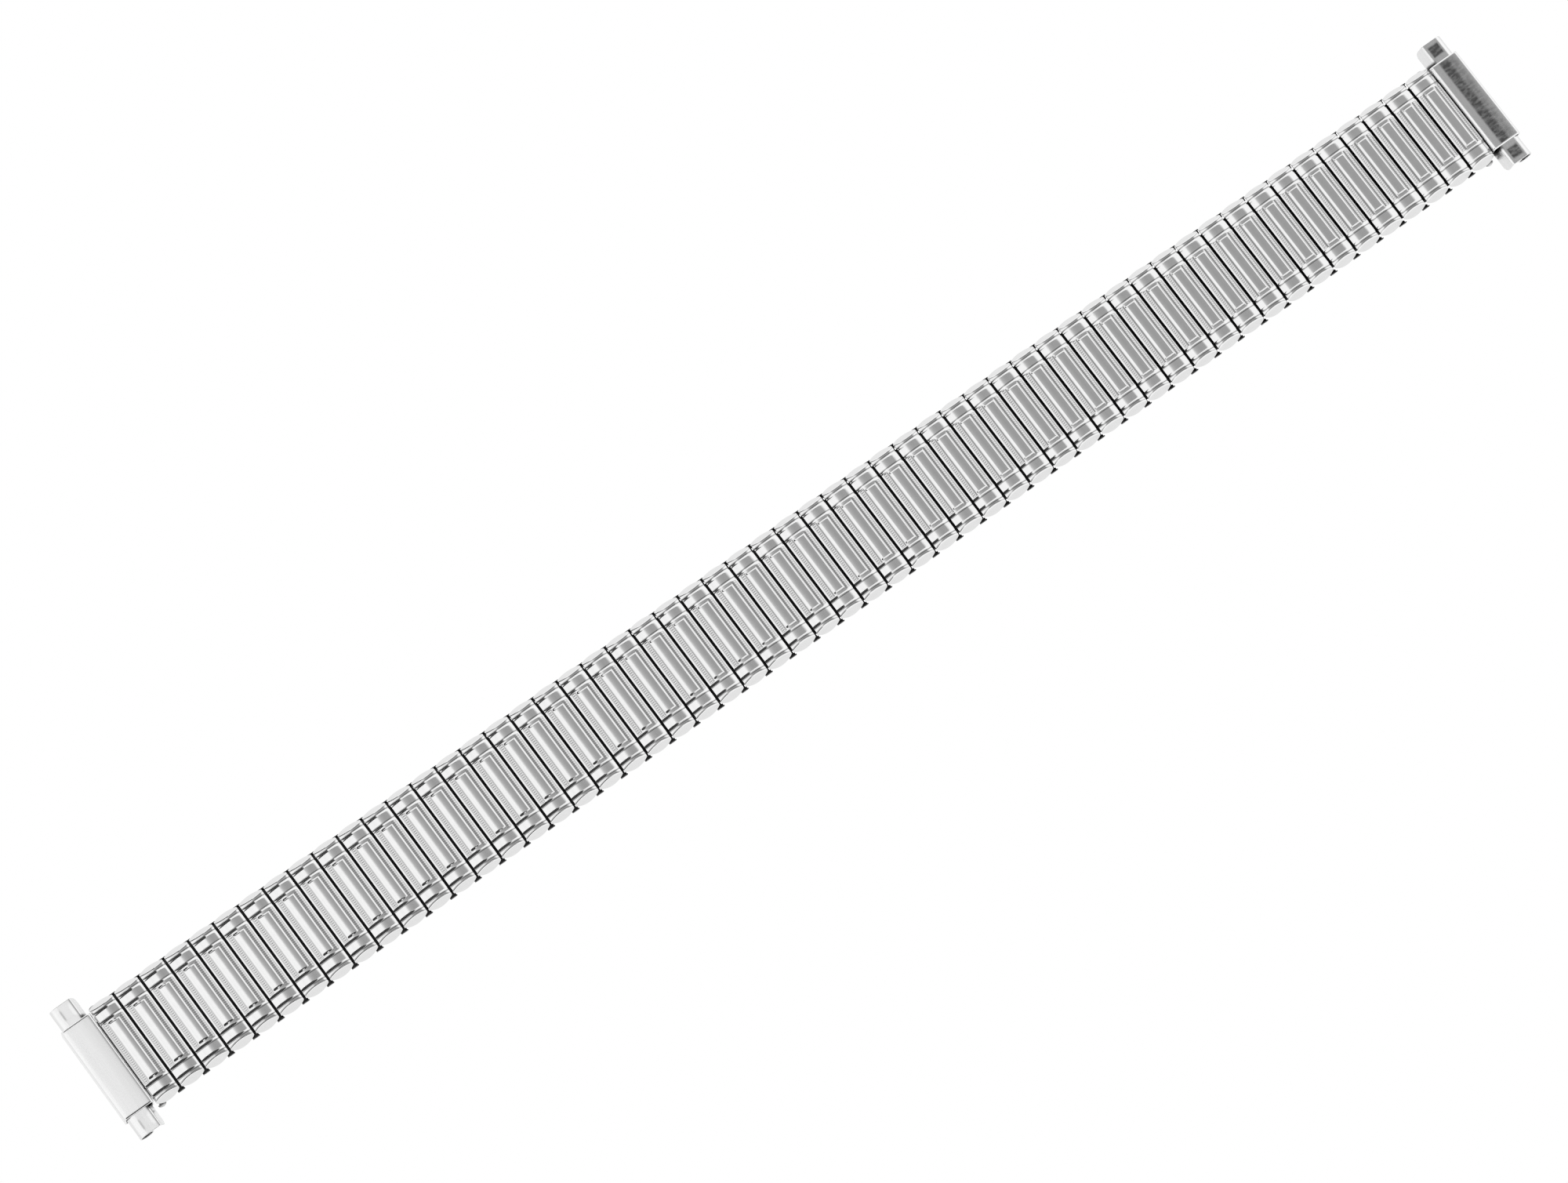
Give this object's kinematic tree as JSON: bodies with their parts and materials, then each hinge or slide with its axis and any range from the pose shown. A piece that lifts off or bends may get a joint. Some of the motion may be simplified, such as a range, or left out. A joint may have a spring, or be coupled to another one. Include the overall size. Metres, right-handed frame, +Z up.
{
  "type": "expansion watch band",
  "caption": "Expansion watch band of crowned, finely ribbed steel links on sprung sleeves and staples, with hinged ends whose sliders telescope to suit a watch's lugs.",
  "frame": {"origin": "under the middle of the band, on the surface that it lies on", "axes": "+X along the band, +Y across it, +Z up out of its decorated side"},
  "size_m": [0.1574, 0.014, 0.0023],
  "materials": {
    "polished_steel": "polished, finely ribbed strips",
    "inner_sleeve_steel": "dull, dark",
    "spring_steel": "plain rolled strip",
    "satin_steel": "fine satin",
    "slider_steel": "satin top, plain inside",
    "plain_steel": "plain"
  },
  "bodies": {
    "center_links": {"center_top_shells": "polished_steel", "center_sleeves": "inner_sleeve_steel", "center_leaf_springs": "spring_steel", "center_staples": "spring_steel"},
    "links_30_to_32": {"links_30_to_32": "polished_steel", "staples_and_springs_30_to_32": "spring_steel"},
    "link_33": {"link_33": "polished_steel"},
    "link_34": {"link_34": "polished_steel"},
    "link_35": {"link_35": "polished_steel"},
    "link_36": {"link_36": "polished_steel"},
    "links_37_to_39": {"links_37_to_39": "polished_steel", "staples_and_springs_37_to_39": "spring_steel"},
    "link_40": {"link_40": "polished_steel"},
    "link_41": {"link_41": "polished_steel"},
    "link_42": {"link_42": "polished_steel"},
    "link_43": {"link_43": "polished_steel"},
    "links_44_to_46": {"links_44_to_46": "polished_steel", "staples_and_springs_44_to_46": "spring_steel"},
    "link_47": {"link_47": "polished_steel"},
    "link_48": {"link_48": "polished_steel"},
    "link_49": {"link_49": "polished_steel"},
    "link_50": {"link_50": "polished_steel"},
    "links_51_to_53": {"links_51_to_53": "polished_steel", "staples_and_springs_51_to_53": "spring_steel"},
    "link_54": {"link_54": "polished_steel"},
    "link_55": {"link_55": "polished_steel"},
    "link_56": {"link_56": "polished_steel", "right_hinge_pin": "plain_steel"},
    "right_end": {"right_end_shell": "satin_steel", "right_end_frame": "plain_steel"},
    "right_slider_near": {"right_slider_near": "slider_steel"},
    "right_slider_far": {"right_slider_far": "slider_steel"},
    "links_25_to_27": {"links_25_to_27": "polished_steel", "staples_and_springs_25_to_27": "spring_steel"},
    "link_24": {"link_24": "polished_steel"},
    "link_23": {"link_23": "polished_steel"},
    "link_22": {"link_22": "polished_steel"},
    "link_21": {"link_21": "polished_steel"},
    "links_18_to_20": {"links_18_to_20": "polished_steel", "staples_and_springs_18_to_20": "spring_steel"},
    "link_17": {"link_17": "polished_steel"},
    "link_16": {"link_16": "polished_steel"},
    "link_15": {"link_15": "polished_steel"},
    "link_14": {"link_14": "polished_steel"},
    "links_11_to_13": {"links_11_to_13": "polished_steel", "staples_and_springs_11_to_13": "spring_steel"},
    "link_10": {"link_10": "polished_steel"},
    "link_09": {"link_09": "polished_steel"},
    "link_08": {"link_08": "polished_steel"},
    "link_07": {"link_07": "polished_steel"},
    "links_04_to_06": {"links_04_to_06": "polished_steel", "staples_and_springs_04_to_06": "spring_steel"},
    "link_03": {"link_03": "polished_steel"},
    "link_02": {"link_02": "polished_steel"},
    "link_01": {"link_01": "polished_steel", "left_hinge_pin": "plain_steel"},
    "left_end": {"left_end_shell": "satin_steel", "left_end_frame": "plain_steel"},
    "left_slider_near": {"left_slider_near": "slider_steel"},
    "left_slider_far": {"left_slider_far": "slider_steel"}
  },
  "joints": [
    {"name": "gap_29_stretch", "type": "slide", "parent": "center_links", "child": "links_30_to_32", "axis": [1, 0, 0], "range_m": [0, 0.0012], "stiffness_N_per_m": 200},
    {"name": "gap_32_curl", "type": "hinge", "parent": "links_30_to_32", "child": "link_33", "pos_m": [0.01215, 0, 0], "axis": [0, 1, 0], "range_deg": [-3, 20]},
    {"name": "gap_33_stretch", "type": "slide", "parent": "link_33", "child": "link_34", "axis": [1, 0, 0], "range_m": [0, 0.0012]},
    {"name": "gap_34_stretch", "type": "slide", "parent": "link_34", "child": "link_35", "axis": [1, 0, 0], "range_m": [0, 0.0012]},
    {"name": "gap_35_stretch", "type": "slide", "parent": "link_35", "child": "link_36", "axis": [1, 0, 0], "range_m": [0, 0.0012]},
    {"name": "gap_36_curl", "type": "hinge", "parent": "link_36", "child": "links_37_to_39", "pos_m": [0.02295, 0, 0], "axis": [0, 1, 0], "range_deg": [-3, 20]},
    {"name": "gap_39_stretch", "type": "slide", "parent": "links_37_to_39", "child": "link_40", "axis": [1, 0, 0], "range_m": [0, 0.0012]},
    {"name": "gap_40_curl", "type": "hinge", "parent": "link_40", "child": "link_41", "pos_m": [0.03375, 0, 0], "axis": [0, 1, 0], "range_deg": [-3, 20]},
    {"name": "gap_41_stretch", "type": "slide", "parent": "link_41", "child": "link_42", "axis": [1, 0, 0], "range_m": [0, 0.0012]},
    {"name": "gap_42_stretch", "type": "slide", "parent": "link_42", "child": "link_43", "axis": [1, 0, 0], "range_m": [0, 0.0012]},
    {"name": "gap_43_curl", "type": "hinge", "parent": "link_43", "child": "links_44_to_46", "pos_m": [0.04185, 0, 0], "axis": [0, 1, 0], "range_deg": [-3, 20]},
    {"name": "gap_46_stretch", "type": "slide", "parent": "links_44_to_46", "child": "link_47", "axis": [1, 0, 0], "range_m": [0, 0.0012]},
    {"name": "gap_47_curl", "type": "hinge", "parent": "link_47", "child": "link_48", "pos_m": [0.05265, 0, 0], "axis": [0, 1, 0], "range_deg": [-3, 20]},
    {"name": "gap_48_stretch", "type": "slide", "parent": "link_48", "child": "link_49", "axis": [1, 0, 0], "range_m": [0, 0.0012]},
    {"name": "gap_49_stretch", "type": "slide", "parent": "link_49", "child": "link_50", "axis": [1, 0, 0], "range_m": [0, 0.0012]},
    {"name": "gap_50_curl", "type": "hinge", "parent": "link_50", "child": "links_51_to_53", "pos_m": [0.06075, 0, 0], "axis": [0, 1, 0], "range_deg": [-3, 20]},
    {"name": "gap_53_stretch", "type": "slide", "parent": "links_51_to_53", "child": "link_54", "axis": [1, 0, 0], "range_m": [0, 0.0012]},
    {"name": "gap_54_curl", "type": "hinge", "parent": "link_54", "child": "link_55", "pos_m": [0.07155, 0, 0], "axis": [0, 1, 0], "range_deg": [-3, 20]},
    {"name": "gap_55_stretch", "type": "slide", "parent": "link_55", "child": "link_56", "axis": [1, 0, 0], "range_m": [0, 0.0012]},
    {"name": "right_end_tilt", "type": "hinge", "parent": "link_56", "child": "right_end", "pos_m": [0.075, 0, 0.00044], "axis": [0, 1, 0], "range_deg": [-2, 45]},
    {"name": "right_slider_near_draw", "type": "slide", "parent": "right_end", "child": "right_slider_near", "axis": [0, -1, 0], "range_m": [-0.002, 0]},
    {"name": "right_slider_far_draw", "type": "slide", "parent": "right_end", "child": "right_slider_far", "axis": [0, 1, 0], "range_m": [-0.002, 0]},
    {"name": "gap_27_stretch", "type": "slide", "parent": "center_links", "child": "links_25_to_27", "axis": [-1, 0, 0], "range_m": [0, 0.0012]},
    {"name": "gap_24_curl", "type": "hinge", "parent": "links_25_to_27", "child": "link_24", "pos_m": [-0.01215, 0, 0], "axis": [0, -1, 0], "range_deg": [-3, 20]},
    {"name": "gap_23_stretch", "type": "slide", "parent": "link_24", "child": "link_23", "axis": [-1, 0, 0], "range_m": [0, 0.0012]},
    {"name": "gap_22_stretch", "type": "slide", "parent": "link_23", "child": "link_22", "axis": [-1, 0, 0], "range_m": [0, 0.0012]},
    {"name": "gap_21_stretch", "type": "slide", "parent": "link_22", "child": "link_21", "axis": [-1, 0, 0], "range_m": [0, 0.0012]},
    {"name": "gap_20_curl", "type": "hinge", "parent": "link_21", "child": "links_18_to_20", "pos_m": [-0.02295, 0, 0], "axis": [0, -1, 0], "range_deg": [-3, 20]},
    {"name": "gap_17_stretch", "type": "slide", "parent": "links_18_to_20", "child": "link_17", "axis": [-1, 0, 0], "range_m": [0, 0.0012]},
    {"name": "gap_16_curl", "type": "hinge", "parent": "link_17", "child": "link_16", "pos_m": [-0.03375, 0, 0], "axis": [0, -1, 0], "range_deg": [-3, 20]},
    {"name": "gap_15_stretch", "type": "slide", "parent": "link_16", "child": "link_15", "axis": [-1, 0, 0], "range_m": [0, 0.0012]},
    {"name": "gap_14_stretch", "type": "slide", "parent": "link_15", "child": "link_14", "axis": [-1, 0, 0], "range_m": [0, 0.0012]},
    {"name": "gap_13_curl", "type": "hinge", "parent": "link_14", "child": "links_11_to_13", "pos_m": [-0.04185, 0, 0], "axis": [0, -1, 0], "range_deg": [-3, 20]},
    {"name": "gap_10_stretch", "type": "slide", "parent": "links_11_to_13", "child": "link_10", "axis": [-1, 0, 0], "range_m": [0, 0.0012]},
    {"name": "gap_09_curl", "type": "hinge", "parent": "link_10", "child": "link_09", "pos_m": [-0.05265, 0, 0], "axis": [0, -1, 0], "range_deg": [-3, 20]},
    {"name": "gap_08_stretch", "type": "slide", "parent": "link_09", "child": "link_08", "axis": [-1, 0, 0], "range_m": [0, 0.0012]},
    {"name": "gap_07_stretch", "type": "slide", "parent": "link_08", "child": "link_07", "axis": [-1, 0, 0], "range_m": [0, 0.0012]},
    {"name": "gap_06_curl", "type": "hinge", "parent": "link_07", "child": "links_04_to_06", "pos_m": [-0.06075, 0, 0], "axis": [0, -1, 0], "range_deg": [-3, 20]},
    {"name": "gap_03_stretch", "type": "slide", "parent": "links_04_to_06", "child": "link_03", "axis": [-1, 0, 0], "range_m": [0, 0.0012]},
    {"name": "gap_02_curl", "type": "hinge", "parent": "link_03", "child": "link_02", "pos_m": [-0.07155, 0, 0], "axis": [0, -1, 0], "range_deg": [-3, 20]},
    {"name": "gap_01_stretch", "type": "slide", "parent": "link_02", "child": "link_01", "axis": [-1, 0, 0], "range_m": [0, 0.0012]},
    {"name": "left_end_tilt", "type": "hinge", "parent": "link_01", "child": "left_end", "pos_m": [-0.075, 0, 0.00044], "axis": [0, -1, 0], "range_deg": [-2, 45]},
    {"name": "left_slider_near_draw", "type": "slide", "parent": "left_end", "child": "left_slider_near", "axis": [0, -1, 0], "range_m": [-0.002, 0]},
    {"name": "left_slider_far_draw", "type": "slide", "parent": "left_end", "child": "left_slider_far", "axis": [0, 1, 0], "range_m": [-0.002, 0]}
  ],
  "couplings": [
    {"joint": "gap_33_stretch", "follows": "gap_29_stretch", "ratio": 1},
    {"joint": "gap_34_stretch", "follows": "gap_29_stretch", "ratio": 1},
    {"joint": "gap_35_stretch", "follows": "gap_29_stretch", "ratio": 1},
    {"joint": "gap_36_curl", "follows": "gap_32_curl", "ratio": 1},
    {"joint": "gap_39_stretch", "follows": "gap_29_stretch", "ratio": 1},
    {"joint": "gap_40_curl", "follows": "gap_32_curl", "ratio": 1},
    {"joint": "gap_41_stretch", "follows": "gap_29_stretch", "ratio": 1},
    {"joint": "gap_42_stretch", "follows": "gap_29_stretch", "ratio": 1},
    {"joint": "gap_43_curl", "follows": "gap_32_curl", "ratio": 1},
    {"joint": "gap_46_stretch", "follows": "gap_29_stretch", "ratio": 1},
    {"joint": "gap_47_curl", "follows": "gap_32_curl", "ratio": 1},
    {"joint": "gap_48_stretch", "follows": "gap_29_stretch", "ratio": 1},
    {"joint": "gap_49_stretch", "follows": "gap_29_stretch", "ratio": 1},
    {"joint": "gap_50_curl", "follows": "gap_32_curl", "ratio": 1},
    {"joint": "gap_53_stretch", "follows": "gap_29_stretch", "ratio": 1},
    {"joint": "gap_54_curl", "follows": "gap_32_curl", "ratio": 1},
    {"joint": "gap_55_stretch", "follows": "gap_29_stretch", "ratio": 1},
    {"joint": "gap_27_stretch", "follows": "gap_29_stretch", "ratio": 1},
    {"joint": "gap_24_curl", "follows": "gap_32_curl", "ratio": 1},
    {"joint": "gap_23_stretch", "follows": "gap_29_stretch", "ratio": 1},
    {"joint": "gap_22_stretch", "follows": "gap_29_stretch", "ratio": 1},
    {"joint": "gap_21_stretch", "follows": "gap_29_stretch", "ratio": 1},
    {"joint": "gap_20_curl", "follows": "gap_32_curl", "ratio": 1},
    {"joint": "gap_17_stretch", "follows": "gap_29_stretch", "ratio": 1},
    {"joint": "gap_16_curl", "follows": "gap_32_curl", "ratio": 1},
    {"joint": "gap_15_stretch", "follows": "gap_29_stretch", "ratio": 1},
    {"joint": "gap_14_stretch", "follows": "gap_29_stretch", "ratio": 1},
    {"joint": "gap_13_curl", "follows": "gap_32_curl", "ratio": 1},
    {"joint": "gap_10_stretch", "follows": "gap_29_stretch", "ratio": 1},
    {"joint": "gap_09_curl", "follows": "gap_32_curl", "ratio": 1},
    {"joint": "gap_08_stretch", "follows": "gap_29_stretch", "ratio": 1},
    {"joint": "gap_07_stretch", "follows": "gap_29_stretch", "ratio": 1},
    {"joint": "gap_06_curl", "follows": "gap_32_curl", "ratio": 1},
    {"joint": "gap_03_stretch", "follows": "gap_29_stretch", "ratio": 1},
    {"joint": "gap_02_curl", "follows": "gap_32_curl", "ratio": 1},
    {"joint": "gap_01_stretch", "follows": "gap_29_stretch", "ratio": 1}
  ]
}
